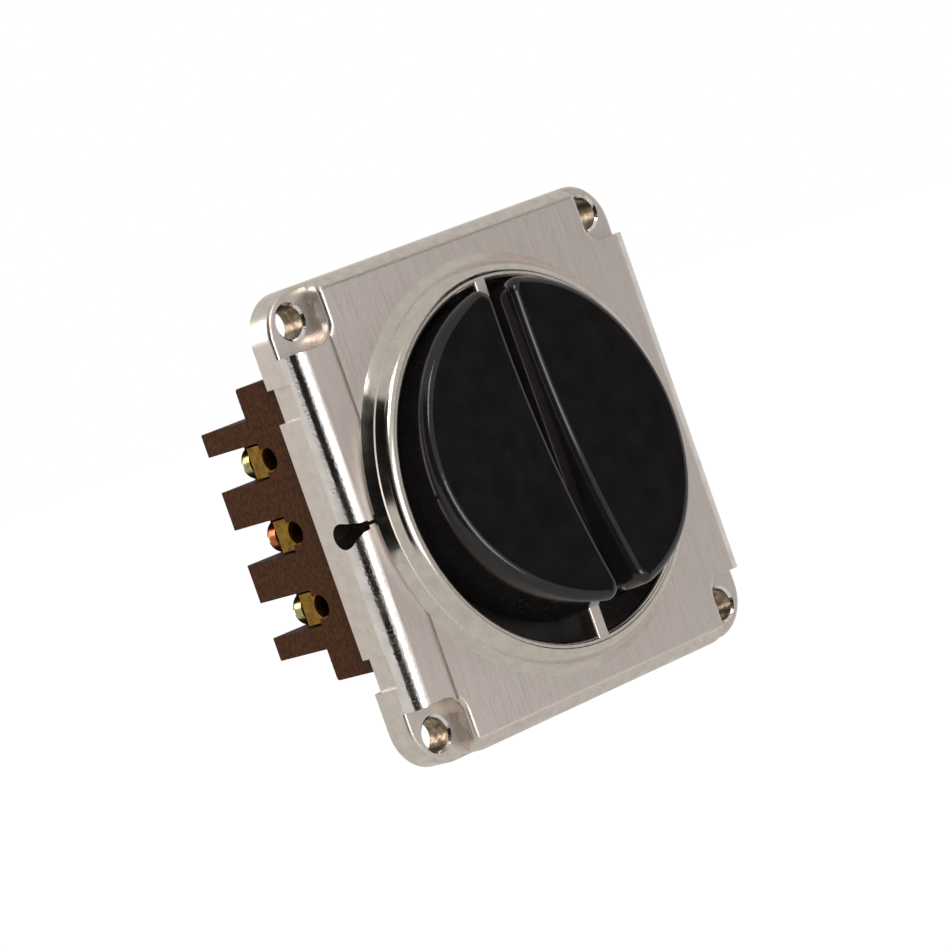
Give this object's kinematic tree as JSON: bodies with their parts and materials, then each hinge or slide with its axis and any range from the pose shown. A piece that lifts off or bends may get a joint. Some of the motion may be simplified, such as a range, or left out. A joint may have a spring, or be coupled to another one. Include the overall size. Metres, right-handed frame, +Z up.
{
  "type": "double light switch",
  "caption": "Flush double rocker switch on a square metal plate, with a round collar and a rear contact base.",
  "frame": {"origin": "centre of the four-hole pattern on the plate's back face, where the plate meets the wall box", "axes": "+X to the right seen from the front, +Y into the wall, +Z up; the rockers face -Y"},
  "size_m": [0.069, 0.0465, 0.069],
  "materials": {
    "nickel_plate": "nickel plated zinc casting, brushed front",
    "black_rocker": "black moulded rocker, polished",
    "black_moulding": "black moulding, satin",
    "brown_phenolic": "brown phenolic moulding, mottled",
    "brass": "brass, drawn and punched",
    "copper": "copper coloured screw",
    "steel": "bright steel",
    "silver": "silver contact rivet",
    "white_nylon": "natural nylon"
  },
  "bodies": {
    "root": {"face_plate": "nickel_plate", "guide_frame": "black_moulding", "contact_base": "brown_phenolic", "pivot_axle": "steel", "base_screws": "steel", "fixed_contact_tips": "silver", "outer_terminal_screws": "brass", "common_terminal_screws": "copper", "upper_contact_left": "brass", "upper_terminal_left": "brass", "common_contact_left": "brass", "common_terminal_left": "brass", "lower_contact_left": "brass", "lower_terminal_left": "brass", "upper_contact_right": "brass", "upper_terminal_right": "brass", "common_contact_right": "brass", "common_terminal_right": "brass", "lower_contact_right": "brass", "lower_terminal_right": "brass"},
    "left_rocker": {"rocker_left": "black_rocker", "plunger_spring_left": "steel"},
    "left_plunger": {"plunger_left": "white_nylon"},
    "left_seesaw": {"seesaw_left": "brass", "seesaw_contacts_left": "silver"},
    "right_rocker": {"rocker_right": "black_rocker", "plunger_spring_right": "steel"},
    "right_plunger": {"plunger_right": "white_nylon"},
    "right_seesaw": {"seesaw_right": "brass", "seesaw_contacts_right": "silver"}
  },
  "joints": [
    {"name": "left_rocker_tilt", "type": "hinge", "parent": "root", "child": "left_rocker", "pos_m": [0, 0.0025, 0], "axis": [1, 0, 0], "range_deg": [0, 13]},
    {"name": "left_plunger_press", "type": "slide", "parent": "left_rocker", "child": "left_plunger", "axis": [0, -0.9936, 0.1132], "range_m": [0, 0.0008], "stiffness_N_per_m": 800, "springref_m": -0.0008, "deforming": ["plunger_spring_left"]},
    {"name": "left_seesaw_tilt", "type": "hinge", "parent": "root", "child": "left_seesaw", "pos_m": [0, 0.0147, 0], "axis": [1, 0, 0], "range_deg": [-14, 0]},
    {"name": "right_rocker_tilt", "type": "hinge", "parent": "root", "child": "right_rocker", "pos_m": [0, 0.0025, 0], "axis": [1, 0, 0], "range_deg": [0, 13]},
    {"name": "right_plunger_press", "type": "slide", "parent": "right_rocker", "child": "right_plunger", "axis": [0, -0.9936, 0.1132], "range_m": [0, 0.0008], "stiffness_N_per_m": 800, "springref_m": -0.0008, "deforming": ["plunger_spring_right"]},
    {"name": "right_seesaw_tilt", "type": "hinge", "parent": "root", "child": "right_seesaw", "pos_m": [0, 0.0147, 0], "axis": [1, 0, 0], "range_deg": [-14, 0]}
  ],
  "couplings": [
    {"joint": "left_seesaw_tilt", "follows": "left_rocker_tilt", "ratio": -1.0769},
    {"joint": "right_seesaw_tilt", "follows": "right_rocker_tilt", "ratio": -1.0769}
  ]
}
